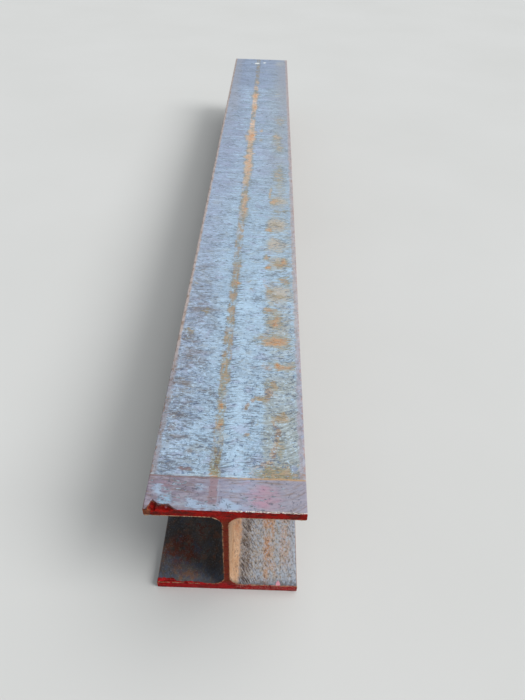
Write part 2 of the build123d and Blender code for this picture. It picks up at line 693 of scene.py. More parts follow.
topLook = {
    "blue": (164, 193, 217), "deepBlue": (128, 150, 172), "paleBlue": (186, 213, 235),
    "lilac": (162, 170, 196), "greenGrey": (142, 155, 165), "slate": (84, 90, 102),
    "ink": (92, 110, 138), "olive": (130, 126, 92), "moss": (146, 150, 142),
    "wornGrey": (158, 166, 165), "swirl": (188, 204, 212), "sand": (196, 180, 160),
    "tan": (184, 152, 122), "orange": (200, 146, 102), "brown": (118, 92, 70), "peach": (224, 170, 126),
    "mauve": (128, 116, 130), "pink": (184, 130, 150), "edgeMauve": (166, 158, 170),
    "stripTan": (188, 168, 156), "edgeRust": (168, 118, 88), "rimGrey": (158, 160, 168),
    "warmGrey": (164, 166, 158), "haze": (158, 177, 200), "smear": (118, 110, 106),
    "bandStreak": (144, 118, 124), "ash": (184, 187, 185), "lime": (236, 240, 238),
    "salmon": (222, 194, 172), "lineTan": (184, 148, 112), "dirt": (112, 104, 100),
    "lineMauve": (126, 102, 100), "farBlue": (136, 150, 178), "scorchAndShade": (72, 44, 40),
    "cyan": (140, 180, 204), "bandGrey": (146, 140, 152), "toeGrey": (134, 128, 128),
}


def named(name):
    return addNode("ShaderNodeAttribute", attribute_name=name).outputs["Fac"]


def spotAmount(x, fromCut, spot, size):
    # one at the spot, nothing beyond size millimetres
    acrossGap = calc("SUBTRACT", x, spot[0])
    alongGap = calc("SUBTRACT", fromCut, spot[1])
    gap = calc("SQRT", total(product(acrossGap, acrossGap), product(alongGap, alongGap)))
    return ramp(gap, size, size * 0.5)


def bentAcross(point):
    # lines across the beam slant on its left and curl up along its right toe
    x, y, z = apart(point)
    pastRight = calc("MAXIMUM", calc("SUBTRACT", x, 84), 0.0)
    curl = product(pastRight, pastRight, -0.010)
    slant = product(calc("MINIMUM", total(x, 40), 0.0), 0.13)
    return joined(x, total(y, curl, slant), z)


def rollerDashes(point):
    # short dark dents across the beam, in clusters, more of them on the left
    dash = grain(bentAcross(point), (13, 2.6), 6.0, detail=2, rough=0.6, kink=0.5)
    cluster = grain(point, (48, 34), 8.5, detail=2)
    leftward = ramp(apart(point)[0], -20, -110, 0.0, 0.022)
    return total(dash, swing(cluster, 0.45), leftward)


def mixShare(amount, under, over):
    # a number between under and over
    return addNode("ShaderNodeMix", {0: amount, 2: under, 3: over}, data_type="FLOAT").outputs[0]


def topPlaces(point):
    # the places and noises that the coats of the top share
    top = SimpleNamespace(point=point)
    top.x, top.y, top.z = apart(top.point)
    top.fromCut = calc("SUBTRACT", top.y, nearEnd)
    top.side = calc("ABSOLUTE", top.x)
    top.far = ramp(top.fromCut, 650, 1500)
    top.near = ramp(top.fromCut, 900, 300)
    top.leftward = ramp(top.x, -20, -110)
    top.cloud = grain(top.point, (90, 130), 2.0, detail=4, rough=0.6)
    top.bent = bentAcross(top.point)
    top.lines = grain(top.bent, (42, 3.4), 5.0, detail=4, rough=0.65)
    top.fine = grain(top.point, (7, 3.2), 8.0, detail=4, rough=0.7)
    top.mottle = grain(top.point, (26, 10), 12.0, detail=5, rough=0.68, kink=0.4)
    top.patchy = grain(top.point, (20, 7), 3.0, detail=4, rough=0.65)
    top.flecks = grain(top.point, (10, 2.8), 4.4, detail=4, rough=0.72)
    top.speck = grain(top.point, (6.0, 6.4), 1.0, detail=3, rough=0.7)
    top.hairline = grain(top.bent, (20, 1.7), 21.0, detail=3, rough=0.7)
    top.blotch = grain(top.point, (9, 26), 27.0, detail=4, rough=0.65)
    inClearRun = within(total(top.x, swing(top.mottle, 22)), -10, 22, 7)
    top.clearRun = product(inClearRun, ramp(top.fromCut, 1000, 400))
    top.plainer = fade(top.clearRun, 1.0, 0.40)
    top.nearLeft = product(top.leftward, ramp(top.fromCut, 420, 240))
    return top


def rolledScale(coats, top):
    # soft clouds of blue and lilac, the blue partly a painted sky reflection, then lines rolled across,
    # fainter where the scale is calm
    wide = grain(top.point, (240, 420), 5.0, detail=2)
    longLines = grain(top.point, (110, 13), 9.0, detail=3, rough=0.6)
    calm = ramp(grain(top.point, (64, 60), 14.0, detail=3, rough=0.6), 0.42, 0.58, 1.0, 0.30)
    lineShare = mixShare(top.near, 1.0, calm)
    lineShare = product(lineShare, top.plainer, fade(top.nearLeft, 1.0, 0.55))
    coats.lay("blue", ramp(top.cloud, 0.36, 0.60))
    coats.lay("greenGrey", ramp(wide, 0.42, 0.62), 0.30)
    coats.lay("lilac", ramp(total(top.far, product(top.leftward, 0.6)), 0, 1.6), 0.85)
    coats.lay("lilac", top.leftward, top.near, 0.20)
    coats.lay("greenGrey", ramp(top.mottle, 0.50, 0.60), fade(top.far, 0.46, 0.22))
    coats.lay("paleBlue", ramp(top.lines, 0.51, 0.62), product(lineShare, 0.80))
    coats.lay("deepBlue", ramp(top.lines, 0.47, 0.37), product(lineShare, 0.62))
    coats.lay("paleBlue", ramp(longLines, 0.52, 0.62), fade(top.far, 0.12, 0.60))
    coats.lay("deepBlue", ramp(longLines, 0.47, 0.37), fade(top.far, 0.15, 0.72))
    coats.lay("paleBlue", ramp(top.fine, 0.52, 0.62), 0.60)
    coats.lay("greenGrey", ramp(top.fine, 0.47, 0.38), 0.60)
    middle = product(ramp(top.fromCut, 200, 420), ramp(top.fromCut, 1300, 900))
    # paler along the middle stretch: painted light that evens the top's brightness along the beam; on its
    # left also more lilac
    coats.lay("paleBlue", middle, fade(top.leftward, 1, 0.3), 0.34)
    coats.lay("lilac", middle, top.leftward, 0.30)
    coats.lay("paleBlue", top.clearRun, 0.30)
    hue = grain(top.point, (38, 24), 17.0, detail=4, rough=0.6)
    coats.lay("lilac", ramp(hue, 0.53, 0.64), 0.50)
    coats.lay("warmGrey", ramp(hue, 0.45, 0.33), fade(top.far, 0.34, 0.15))
    farPatch = grain(top.point, (120, 90), 23.0, detail=3, rough=0.6)
    coats.lay("lilac", top.far, ramp(farPatch, 0.52, 0.62), 0.40)
    coats.lay("greenGrey", top.far, ramp(farPatch, 0.48, 0.38), 0.34)
    farRight = product(top.far, ramp(top.x, 10, 80))
    coats.lay("warmGrey", farRight, 0.22)
    farthest = ramp(top.fromCut, 2080, 2240)
    coats.lay("farBlue", farthest, 0.50)
    coats.lay("farBlue", top.far, top.leftward, 0.30)


def wornRight(coats, top):
    # worn olive grey on the right, with pale swirls near the cut end
    stain = named("stain")
    alongRight = total(ramp(top.fromCut, 2100, 700, 0.12, 0.40), ramp(top.fromCut, 350, 270, 0, 0.22))
    onRight = product(ramp(top.x, 40, 66), ramp(top.x, 129, 120), alongRight)
    worn = total(stain, onRight)
    top.wornAmount = ramp(total(worn, swing(top.patchy, 1.5)), 0.34, 0.72)
    coats.lay("wornGrey", top.wornAmount, 0.74)
    oliveAmount = ramp(total(worn, swing(top.flecks, 1.5), swing(top.patchy, 0.8)), 0.55, 0.92)
    oliveMix = Coats(topLook, "olive")
    oliveMix.lay("moss", ramp(top.fromCut, 86, 104))
    oliveMix.lay("sand", ramp(top.fromCut, 280, 560))
    oliveShare = total(ramp(top.fromCut, 84, 108, 0.80, 0.46), ramp(top.fromCut, 250, 400, 0, 0.20))
    coats.lay(oliveMix, oliveAmount, oliveShare)
    swirl = grain(top.bent, (34, 4.6), 2.2, detail=2, kink=0.9)
    swirlZone = product(ramp(top.x, 56, 80), ramp(top.fromCut, 700, 200), ramp(top.fromCut, 70, 90))
    coats.lay("swirl", within(swirl, 0.53, 0.60, 0.02), swirlZone, 0.80)
    coats.lay("greenGrey", within(swirl, 0.42, 0.47, 0.02), swirlZone, 0.55)
    fringe = ramp(total(named("fringe"), swing(top.flecks, 1.4)), 0.30, 0.78)
    coats.lay("tan", fringe, 0.60)
    coats.lay("brown", fringe, ramp(top.fine, 0.50, 0.58), 0.60)
    # the corner by the band, where olive, orange and grey lie side by side
    corner = product(ramp(total(top.fromCut, product(top.x, -0.12)), 92, 78), ramp(top.x, 18, 46))
    coats.lay("tan", corner, ramp(top.fine, 0.51, 0.58), 0.60)
    coats.lay("greenGrey", corner, ramp(top.fine, 0.48, 0.40), 0.62)
    for spot in ((110, 86), (114, 72)):
        coats.lay("farBlue", spotAmount(top.x, top.fromCut, spot, 9), 0.70)


def leftDirt(coats, top):
    # brown dirt along the left side
    dirtZone = product(ramp(top.x, -46, -92), ramp(top.fromCut, 900, 520), ramp(top.fromCut, 100, 240))
    dirtNoise = total(top.patchy, swing(top.flecks, 0.9), swing(top.mottle, 0.7))
    coats.lay("dirt", dirtZone, ramp(dirtNoise, 0.48, 0.68), 0.62)
    smear = named("smear")
    coats.lay("brown", ramp(total(smear, swing(top.patchy, 0.9)), 0.12, 0.62), 0.28)
    smearAmount = ramp(total(smear, swing(top.lines, 1.7), swing(top.flecks, 0.9)), 0.46, 0.80)
    coats.lay("smear", smearAmount, 0.66)
    smearRims = product(within(smear, 0.20, 0.50, 0.10), ramp(top.flecks, 0.50, 0.58))
    coats.lay("slate", smearRims, 0.40)


def dentsAndSpecks(coats, top):
    # dents and specks, and short dark lines beside the streak over the web, painted as shadows
    rising = joined(top.x, total(top.y, product(top.x, -0.22)), top.z)
    combShadow = grain(rising, (30, 4.4), 31.0, detail=2, rough=0.5)
    combShadowZone = product(within(total(top.x, swing(top.mottle, 14)), -15, 4, 5), ramp(top.fromCut, 900, 500))
    coats.lay("slate", combShadowZone, ramp(combShadow, 0.52, 0.59), 0.66)
    top.dashAmount = product(ramp(rollerDashes(top.point), 0.580, 0.635), top.plainer)
    midLeft = product(top.leftward, ramp(top.fromCut, 240, 420))
    dashShare = product(fade(top.far, 0.60, 0.34), fade(midLeft, 1.05, 0.60))
    coats.lay("slate", top.dashAmount, dashShare)
    dirt = ramp(total(rollerDashes(top.point), swing(top.mottle, 0.6)), 0.52, 0.68)
    coats.lay("smear", dirt, 0.14)
    top.speckAmount = product(ramp(top.speck, 0.575, 0.64), fade(top.near, 0.30, 1.0))
    coats.lay("ink", top.speckAmount, 0.74)
    palePoint = product(ramp(top.speck, 0.42, 0.36), top.near)
    coats.lay("paleBlue", palePoint, 0.62)
    hairShare = product(fade(top.far, 0.52, 0.30), top.plainer, fade(top.nearLeft, 1.0, 0.6))
    coats.lay("slate", ramp(top.hairline, 0.56, 0.64), hairShare)
    dashWide = within(total(top.x, swing(top.flecks, 6)), -83, -63, 2)
    dashLong = within(total(top.fromCut, swing(top.patchy, 4)), 77.5, 83, 1.0)
    coats.lay("lineMauve", dashWide, dashLong, 0.70)
    farRims = product(ramp(top.fromCut, 1300, 2100), ramp(total(top.side, swing(top.cloud, 60)), 70, 105))
    coats.lay("rimGrey", farRims, 0.50)


def webStreak(coats, top):
    # the dirty streak over the web, which drifts to the middle further off
    offMiddle = calc("SUBTRACT", top.x, ramp(top.fromCut, 300, 2200, -22, -13))
    fromStreak = calc("ABSOLUTE", total(offMiddle, swing(top.mottle, 14), swing(top.flecks, 13)))
    streak = ramp(fromStreak, 11, 6.5)
    streakGap = ramp(grain(top.point, (40, 54), 41.0, detail=3), 0.42, 0.52, 0.48, 1.0)
    streakGap = mixShare(ramp(top.fromCut, 96, 130), 1.0, streakGap)
    top.streakAmount = product(streak, streakGap, ramp(total(top.blotch, swing(top.flecks, 0.5)), 0.38, 0.52))
    coats.lay("olive", top.streakAmount, ramp(top.fromCut, 96, 116, 0.85, 0.60))
    streakTan = product(streak, streakGap, ramp(top.blotch, 0.45, 0.60), ramp(top.fromCut, 84, 150))
    coats.lay("tan", streakTan, fade(top.far, 0.62, 0.30))
    coats.lay("brown", streak, ramp(top.flecks, 0.56, 0.66), fade(top.far, 0.50, 0.10))
    brokenRim = product(within(fromStreak, 7, 12, 1.5), ramp(top.blotch, 0.48, 0.54))
    coats.lay("smear", brokenRim, ramp(top.flecks, 0.48, 0.56), fade(top.far, 0.55, 0.25))
    nearStreak = product(streak, ramp(top.fromCut, 132, 104))
    coats.lay("brown", nearStreak, ramp(top.fine, 0.51, 0.57), 0.66)
    coats.lay("slate", nearStreak, ramp(top.speck, 0.53, 0.60), 0.60)
    coats.lay("swirl", nearStreak, ramp(top.fine, 0.46, 0.39), 0.50)
    coats.lay("orange", streak, ramp(top.fromCut, 84, 68), ramp(top.fine, 0.48, 0.56), 0.60)
    gaps = ramp(grain(top.point, (40, 46), 25.0, detail=2), 0.40, 0.52)
    farStreak = product(streak, top.far, gaps, ramp(top.fromCut, 2300, 2050))
    coats.lay("salmon", farStreak, ramp(top.mottle, 0.36, 0.50), 0.92)


def topRust(coats, top):
    # rust, from an olive rim through tan to orange
    rust = named("rust")
    rustAmount = total(rust, swing(top.patchy, 1.1), swing(top.flecks, 1.2), swing(top.lines, 0.5))
    tanAmount = product(ramp(rustAmount, 0.30, 0.66), ramp(rust, 0.08, 0.32))
    top.orangeAmount = product(ramp(rustAmount, 0.60, 1.04), ramp(rust, 0.15, 0.45))
    coats.lay("olive", ramp(rustAmount, 0.16, 0.40), ramp(rust, 0.03, 0.16), 0.50)
    tanMix = Coats(topLook, "tan")
    tanMix.lay("sand", ramp(top.mottle, 0.42, 0.56), 0.8)
    tanMix.lay("salmon", top.far)
    orangeMix = Coats(topLook, "orange")
    orangeMix.lay("peach", ramp(top.fromCut, 250, 1100))
    coats.lay(tanMix, tanAmount, 0.78)
    coats.lay(orangeMix, top.orangeAmount, 0.85)
    coats.lay("brown", ramp(top.flecks, 0.62, 0.74), fade(top.far, 0.45, 0.20))
    # rolled lines and worn spots show through the rust and the streak
    overRust = total(tanAmount, product(top.streakAmount, ramp(top.fromCut, 240, 360, 0.4, 0.9)))
    coats.lay("brown", overRust, ramp(top.hairline, 0.51, 0.60), fade(top.far, 0.52, 0.25))
    coats.lay("greenGrey", overRust, ramp(top.fine, 0.46, 0.38), 0.42)


def toeStrips(coats, top):
    # the strip along each toe
    toStrip = total(top.side, swing(grain(top.point, (16, 20), 1.2, detail=4, rough=0.65), 18))
    toStrip = total(toStrip, product(top.leftward, ramp(top.fromCut, 300, 420), -4.0))
    strip = Coats(topLook, "edgeMauve")
    strip.lay("lilac", ramp(top.mottle, 0.50, 0.66))
    strip.lay("toeGrey", top.leftward, 0.72)
    strip.lay("stripTan", ramp(top.fromCut, 320, 480), 0.65)
    stripDark = fade(top.leftward, 0.36, 0.90)
    strip.lay("brown", ramp(top.blotch, 0.50, 0.59), stripDark)
    strip.lay("rimGrey", ramp(top.patchy, 0.47, 0.38), 0.40)
    coats.lay(strip, ramp(toStrip, 116, 122), 0.72)
    rimLine = product(within(toStrip, 126.5, 130.0, 1.5), ramp(top.patchy, 0.42, 0.60))
    coats.lay("edgeRust", rimLine, ramp(product(top.leftward, top.near), 0, 1, 0.55, 0.25))
    leftRim = product(ramp(total(top.x, swing(top.patchy, 10)), -121, -124), ramp(top.fromCut, 240, 420))
    coats.lay("stripTan", leftRim, 0.50)
    coats.lay("brown", leftRim, ramp(top.blotch, 0.50, 0.58), 0.34)


def heatBand(coats, top):
    # the band beside the cut, which the torch's heat turned mauve
    bandEdge = total(top.fromCut, swing(grain(top.point, (45, 30), 7.0, detail=3), 5))
    acrossBand = total(top.x, swing(top.mottle, 90))
    band = Coats(topLook, "mauve")
    band.lay("lilac", ramp(acrossBand, -70, 90))
    band.lay("bandGrey", ramp(top.x, 26, 62), 0.85)
    band.lay("edgeMauve", ramp(top.patchy, 0.45, 0.60), 0.50)
    band.lay("brown", ramp(top.lines, 0.48, 0.38), 0.50)
    band.lay("slate", ramp(top.flecks, 0.56, 0.66), 0.40)
    inBand = ramp(bandEdge, 64, 62.5)
    coats.lay(band, inBand, 0.90)
    greenPatch = spotAmount(top.x, top.fromCut, (-70, 24), 22)
    coats.lay("greenGrey", greenPatch, ramp(top.mottle, 0.44, 0.58), 0.55)
    pinkAmount = ramp(total(named("pink"), swing(top.mottle, 1.2)), 0.22, 0.95)
    coats.lay("pink", pinkAmount, 0.60)
    haze = total(named("haze"), swing(top.mottle, 1.1), swing(top.flecks, 0.8))
    coats.lay("haze", ramp(haze, 0.28, 0.80), 0.92)
    coats.lay("cyan", spotAmount(top.x, top.fromCut, (-97, 18), 15), ramp(top.flecks, 0.40, 0.54), 0.70)
    onStreak = ramp(calc("ABSOLUTE", total(top.x, 22, swing(top.patchy, 8))), 8.0, 4.5)
    streakFade = product(ramp(top.fromCut, 2, 22), ramp(top.mottle, 0.30, 0.52))
    coats.lay("bandStreak", inBand, onStreak, streakFade, 0.75)
    streakRim = within(total(top.x, swing(top.patchy, 4)), -14.4, -13.0, 0.8)
    coats.lay("haze", inBand, streakRim, ramp(top.flecks, 0.36, 0.54), 0.40)
    bandSpecks = product(inBand, ramp(top.speck, 0.59, 0.65))
    coats.lay("slate", bandSpecks, 0.60)
    bandLine = product(within(bandEdge, 62.0, 65.4, 0.8), ramp(top.flecks, 0.28, 0.48))
    lineMix = Coats(topLook, "lineMauve")
    lineMix.lay("lineTan", ramp(top.x, -30, 40))
    coats.lay(lineMix, bandLine, 0.85)
    lip = product(within(bandEdge, 66.2, 69.0, 0.9), ramp(top.patchy, 0.44, 0.54))
    coats.lay("swirl", lip, ramp(top.x, 30, 16), 0.45)


def scoopRimAndSplashes(coats, top):
    # dark round the scoops: burnt steel, and painted shade of their hollows
    scorchAndShade = total(named("scorchAndShade"), swing(top.flecks, 2.6))
    coats.lay("scorchAndShade", ramp(scorchAndShade, -1.0, 0.6), 0.90)
    # pale smears and lime splashes at the far end
    coats.lay("ash", ramp(total(named("ash"), swing(top.mottle, 1.0)), 0.34, 0.80), 0.75)
    coats.lay("lime", ramp(total(named("lime"), swing(top.flecks, 0.5)), 0.40, 0.60), 0.95)


def topFinish():
    finish, shader, point = newFinish("topScale")
    top = topPlaces(point)
    coats = Coats(topLook, "deepBlue")
    for layOn in (
        rolledScale, wornRight, leftDirt, dentsAndSpecks, webStreak,
        topRust, toeStrips, heatBand, scoopRimAndSplashes,
    ):
        layOn(coats, top)
    rough = total(0.46, product(top.orangeAmount, 0.3), product(top.wornAmount, 0.12), swing(top.cloud, 0.2))
    height = total(
        product(top.lines, 0.35), product(top.fine, 0.25), product(top.dashAmount, -0.5),
        product(top.speckAmount, -0.4), product(top.orangeAmount, top.flecks, 0.9),
    )
    dressShader(shader, coats, rough, 0.28, height, 0.50)
    return finish


# The finish of the channels, the web, the underside and the flanges' side edges

channelLook = {
    "scale": (112, 104, 98), "darkScaleAndShade": (78, 72, 70), "blueScale": (152, 164, 180),
    "rust": (150, 98, 66), "orange": (200, 146, 104), "redRust": (118, 58, 40), "dust": (178, 164, 148),
    "paleDust": (192, 190, 186), "pit": (66, 54, 48), "brown": (112, 90, 72), "tan": (196, 154, 118),
    "inkBlue": (84, 96, 116), "paleBlue": (178, 190, 206), "laneTan": (196, 158, 126),
    "webTan": (218, 180, 146), "edgeRust": (148, 108, 88), "edgeMauve": (138, 130, 132),
    "redPatch": (-90, 66),  # middle of a redder patch in the left channel: across, from the cut end
}


def channelPlaces(point):
    # the places and noises that the coats of the channels share
    bay = SimpleNamespace(point=point)
    bay.x, bay.y, bay.z = apart(bay.point)
    bay.fromCut = calc("SUBTRACT", bay.y, nearEnd)
    bay.side = calc("ABSOLUTE", bay.x)
    facing = addNode("ShaderNodeNewGeometry").outputs["True Normal"]
    bay.facingUp = ramp(apart(facing)[2], 0.25, 0.75)
    bay.cloud = grain(bay.point, (70, 110), 2.0, detail=4, rough=0.6)
    bay.runs = grain(bay.point, (9, 60), 5.0, detail=4, rough=0.6, kink=0.5)
    bay.patchy = grain(bay.point, (20, 26), 3.0, detail=4, rough=0.65)
    bay.spots = grain(bay.point, (9, 12), 14.0, detail=4, rough=0.7)
    bay.fine = grain(bay.point, (3.2, 4.0), 8.0, detail=3, rough=0.7)
    bay.grit = grain(bay.point, (1.8, 2.2), 11.0, detail=2, rough=0.6)
    bay.lane = total(bay.x, swing(bay.patchy, 16), swing(bay.fine, 7))
    bay.pitZone = within(bay.lane, 21, 41, 4)
    bay.onFloor = product(bay.facingUp, ramp(bay.side, 14, 24), ramp(bay.z, 44, 32))
    # the right channel below the upper flange: real rust and dust, painted lighter as the lit side; the left
    # channel and the strip under the upper flange stay dark as painted shade
    bay.openSide = product(ramp(bay.x, -3, 3), ramp(bay.z, beamHeight - 22, beamHeight - 60))
    return bay


def darkSteelAndShade(coats, bay):
    # dark scale with clouds of brown and red rust, its dark base partly painted shade in the left channel and
    # under the upper flange
    coats.lay("scale", ramp(bay.cloud, 0.38, 0.62))
    coats.lay("rust", ramp(bay.patchy, 0.52, 0.66), 0.55)
    coats.lay("redRust", ramp(total(bay.spots, swing(bay.cloud, 0.8)), 0.55, 0.68), 0.70)
    redPatch = spotAmount(bay.x, bay.fromCut, channelLook["redPatch"], 44)
    coats.lay("redRust", redPatch, ramp(bay.spots, 0.40, 0.54), 0.80)
    coats.lay("inkBlue", ramp(total(bay.patchy, swing(bay.fine, 0.5)), 0.46, 0.34), 0.60)
    coats.lay("blueScale", ramp(bay.fine, 0.57, 0.68), 0.38)
    coats.lay("brown", ramp(bay.spots, 0.42, 0.34), 0.30)
    bluer = ramp(total(bay.fromCut, swing(bay.patchy, 60)), 50, 10)
    coats.lay("inkBlue", bluer, ramp(bay.spots, 0.45, 0.55), 0.60)


def openWeb(bay):
    # the right channel's web: tan, with soft brown and grey runs
    web = Coats(channelLook, "tan")
    web.lay("webTan", ramp(bay.runs, 0.40, 0.60))
    web.lay("orange", ramp(bay.patchy, 0.50, 0.64), 0.50)
    web.lay("rust", ramp(bay.spots, 0.56, 0.68), 0.45)
    web.lay("scale", ramp(bay.fine, 0.58, 0.68), 0.45)
    older = ramp(total(bay.fromCut, swing(bay.cloud, 200)), 60, 240)
    patches = total(grain(bay.point, (54, 120, 40), 51.0, detail=5, rough=0.7), swing(bay.spots, 0.5))
    web.lay("rust", older, ramp(patches, 0.36, 0.58), 0.72)
    web.lay("scale", older, ramp(total(patches, swing(bay.runs, 0.6)), 0.47, 0.62), 0.66)
    web.lay("redRust", older, ramp(bay.patchy, 0.50, 0.62), 0.50)
    web.lay("darkScaleAndShade", older, ramp(patches, 0.58, 0.70), 0.50)
    web.lay("blueScale", older, ramp(total(bay.spots, swing(bay.fine, 0.8)), 0.46, 0.36), 0.45)
    return web


def openFloor(bay):
    # the right channel's floor: dusty and pitted, in lanes along the beam
    across = total(bay.x, swing(bay.patchy, 34), swing(bay.spots, 22), swing(bay.fine, 8))
    bed = Coats(channelLook, "dust")
    bed.lay("paleDust", ramp(bay.fine, 0.42, 0.56))
    bed.lay("blueScale", ramp(total(bay.spots, swing(bay.fine, 0.7)), 0.44, 0.56), 0.72)
    lumps = grain(bay.point, (20, 44), 33.0, detail=3)
    lanePatch = ramp(total(lumps, swing(bay.fine, 0.5)), 0.36, 0.54)
    orangeRun = product(within(bay.lane, 66, 87, 4), lanePatch)
    bed.lay("laneTan", orangeRun, 0.82)
    bed.lay("orange", orangeRun, ramp(lumps, 0.50, 0.60), 0.60)
    outerRun = product(within(bay.lane, 99, 124, 4), ramp(bay.fine, 0.46, 0.56), ramp(bay.fromCut, 24, 56))
    bed.lay("orange", outerRun, 0.62)
    footRun = within(bay.lane, 8, 21, 3)
    bed.lay("tan", footRun, 0.88)
    bed.lay("brown", bay.pitZone, 0.60)
    bed.lay("scale", ramp(bay.spots, 0.46, 0.36), ramp(bay.x, 30, 50), 0.40)
    bed.lay("blueScale", ramp(across, 108, 120), 0.60)
    heated = ramp(total(bay.fromCut, swing(bay.spots, 24)), 20, 6)
    bed.lay("inkBlue", heated, 0.50)
    speckle = grain(bay.point, (4.2, 6.4), 37.0, detail=3, rough=0.8)
    pastFoot = ramp(bay.lane, 18, 30)
    bed.lay("scale", pastFoot, ramp(speckle, 0.54, 0.61), 0.52)
    bed.lay("pit", pastFoot, ramp(speckle, 0.58, 0.65), 0.60)
    paleShare = product(pastFoot, fade(bay.pitZone, 0.75, 0.35))
    bed.lay("paleBlue", paleShare, ramp(speckle, 0.48, 0.40), 1.0)
    return bed


def pitsAndScars(coats, bay):
    # pits, slanting scars and grit
    pits = grain(bay.point, (3.4, 5.2), 4.0, detail=4, rough=0.75, kink=0.3)
    skewed = joined(total(bay.x, product(bay.y, 0.6)), bay.y, bay.z)
    scars = grain(skewed, (2.2, 13), 19.0, detail=1, rough=0.6)
    pitBias = product(bay.pitZone, bay.openSide, 0.05)
    bay.pitAmount = ramp(total(pits, pitBias, product(bay.openSide, 0.025)), 0.60, 0.66)
    coats.lay("pit", bay.pitAmount, 0.62)
    scarZone = product(ramp(bay.lane, 18, 26), ramp(bay.lane, 60, 38, 0.16, 1.0), bay.openSide, bay.onFloor)
    coats.lay("pit", ramp(scars, 0.56, 0.63), scarZone, 0.80)
    coats.lay("paleDust", ramp(scars, 0.45, 0.38), scarZone, 0.45)
    coats.lay("pit", ramp(bay.grit, 0.60, 0.70), fade(bay.openSide, 0.35, 0.50))
    coats.lay("paleDust", bay.facingUp, ramp(bay.grit, 0.40, 0.30), 0.34)


def sideEdges(coats, bay):
    # the flanges' side edges, mauve with rust
    onEdge = ramp(bay.side, halfFlange - 2.2, halfFlange - 0.9)
    edge = Coats(channelLook, "edgeMauve")
    edge.lay("edgeRust", ramp(bay.patchy, 0.40, 0.60))
    edge.lay("redRust", ramp(bay.fine, 0.53, 0.66), 0.60)
    edge.lay("blueScale", ramp(bay.spots, 0.46, 0.36), 0.50)
    coats.lay(edge, onEdge)
    coats.lay("darkScaleAndShade", ramp(total(bay.fromCut, swing(bay.patchy, 14)), 9, 2), 0.60)


def channelFinish():
    finish, shader, point = newFinish("channelScale")
    bay = channelPlaces(point)
    # the dark base is partly painted shade
    coats = Coats(channelLook, "darkScaleAndShade")
    darkSteelAndShade(coats, bay)
    web = openWeb(bay)
    web.lay(openFloor(bay), bay.onFloor)
    # the lit side takes the lighter rust and dust; the dark coats elsewhere are painted shade
    coats.lay(web, bay.openSide, 0.92)
    pitsAndScars(coats, bay)
    sideEdges(coats, bay)
    height = total(
        product(bay.fine, 0.6), product(bay.spots, 0.6), product(bay.pitAmount, -0.8), product(bay.grit, 0.3)
    )
    dressShader(shader, coats, total(0.64, swing(bay.patchy, 0.3)), 0.2, height, 0.55)
    return finish


# Bare steel that the torch melted, and the sawn far end

cutLook = {
    "rust": (128, 62, 36), "orange": (176, 104, 62), "slag": (52, 36, 32), "dark": (84, 40, 30),
}
sawnLook = {
    "steel": (138, 136, 132), "bright": (168, 166, 162), "bloom": (146, 104, 74), "rust": (112, 70, 46),
}


def cutFinish():
    finish, shader, point = newFinish("torchCut")
    lumps = grain(point, (4.5, 4.5), 2.0, detail=4, rough=0.6)
    fine = grain(point, (1.3, 1.3), 6.0, detail=2)
    coats = Coats(cutLook, "dark")
    coats.lay("rust", ramp(lumps, 0.36, 0.62))
    coats.lay("orange", ramp(fine, 0.52, 0.68), 0.7)
    coats.lay("slag", ramp(lumps, 0.44, 0.32), 0.8)
    dressShader(shader, coats, 0.72, 0.2, total(lumps, product(fine, 0.4)), 0.5)
    return finish


def sawnFinish():
    finish, shader, point = newFinish("sawnEnd")
    x, _, z = apart(point)
    # the blade came down at a slant
    slant = total(z, product(x, 0.14))
    lines = grain(joined(x=product(x, 0.02), z=slant), (1.0, 1.0, 1.1), 3.0, detail=2)
    cloud = grain(point, (22, 22), 4.0, detail=4, rough=0.6)
    fine = grain(point, (1.8, 1.8), 9.0, detail=3)
    bloom = ramp(total(cloud, swing(fine, 0.35)), 0.44, 0.60)
    coats = Coats(sawnLook, "steel")
    coats.lay("bright", ramp(lines, 0.38, 0.62))
    coats.lay("bloom", bloom, 0.8)
    coats.lay("rust", ramp(total(cloud, swing(fine, 0.5)), 0.58, 0.70), 0.8)
    feed(shader["Metallic"], fade(bloom, 0.5, 0.0))
    dressShader(shader, coats, fade(bloom, 0.42, 0.75), 0.5, total(lines, product(bloom, 0.3)), 0.25)
    return finish


def finishSteel(body):
    body.data.materials.clear()
    for made in (topFinish(), channelFinish(), cutFinish(), sawnFinish()):
        body.data.materials.append(made)
    top, channel, cut, sawn = range(4)
    scoopReach = max(scoop["reach"] for scoop in torchScoops.values()) + 2
    # each face takes its finish from where it lies and which way it faces
    for face in body.data.polygons:
        x, y, z = face.center / mm
        fromCut = y - nearEnd
        upward = face.normal.z
        lowered = z < beamHeight - rolledBody["skin"] - 0.6
        if abs(face.normal.y) > 0.8 and fromCut < 4:
            face.material_index = cut
        elif fromCut > beamLength - 2 and face.normal.y > 0.8:
            face.material_index = sawn
        elif fromCut < scoopReach and x < -70 and abs(x) < halfFlange - 1 and upward > 0.1 and (
            z > beamHeight - 10 and lowered or abs(z - 14) < 2.6
        ):
            face.material_index = cut
        elif z > beamHeight - 2.2 and upward > 0.15:
            face.material_index = top
        else:
            face.material_index = channel
        face.use_smooth = True
    body.data.set_sharp_from_angle(angle=radians(42))


finishSteel(steelBody)
print("steel body finished")


# Red paint brushed over the cut end, as a film of its own

